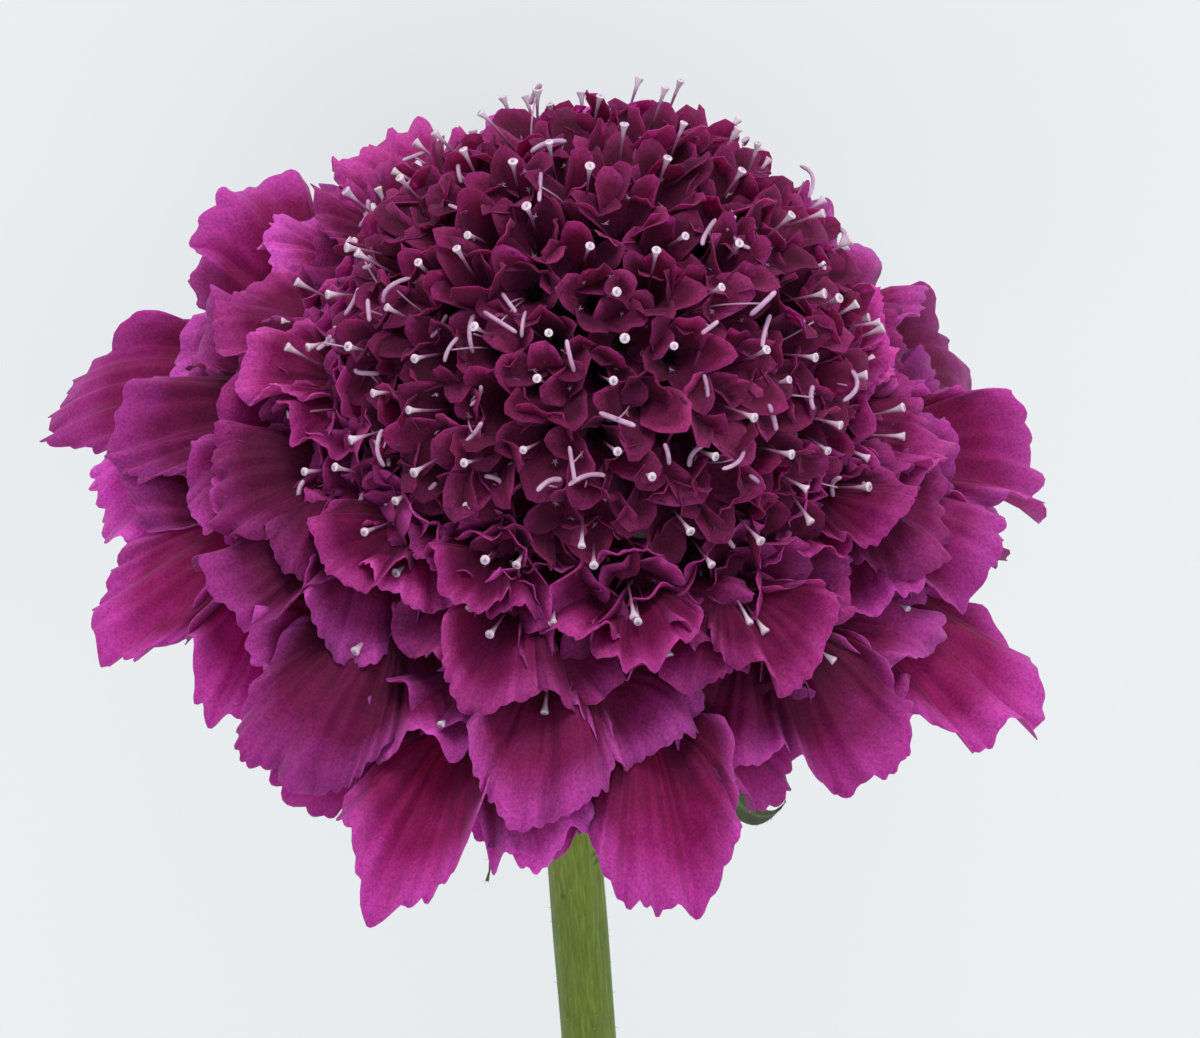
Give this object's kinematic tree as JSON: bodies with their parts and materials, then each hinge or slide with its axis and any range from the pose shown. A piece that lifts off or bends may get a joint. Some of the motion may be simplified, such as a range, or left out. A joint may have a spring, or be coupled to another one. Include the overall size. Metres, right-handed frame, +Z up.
{
  "type": "scabiosa flower",
  "caption": "Cut dark magenta double scabiosa lying on its side: a domed pincushion of small florets ringed by wide ruffled petals, on a green stem.",
  "frame": {"origin": "on the surface the flower lies on, under the middle of its bounding box", "axes": "+Z up from the surface, +Y from the head towards the stem's cut end, the bloom faces -Y"},
  "size_m": [0.0616, 0.1768, 0.0561],
  "materials": {
    "petals": "velvety",
    "bracts": "matte, finely hairy",
    "stem": "matte, finely ribbed"
  },
  "bodies": {
    "root": {"flower_head": "petals", "involucre": "bracts", "stem": "stem"}
  },
  "joints": []
}
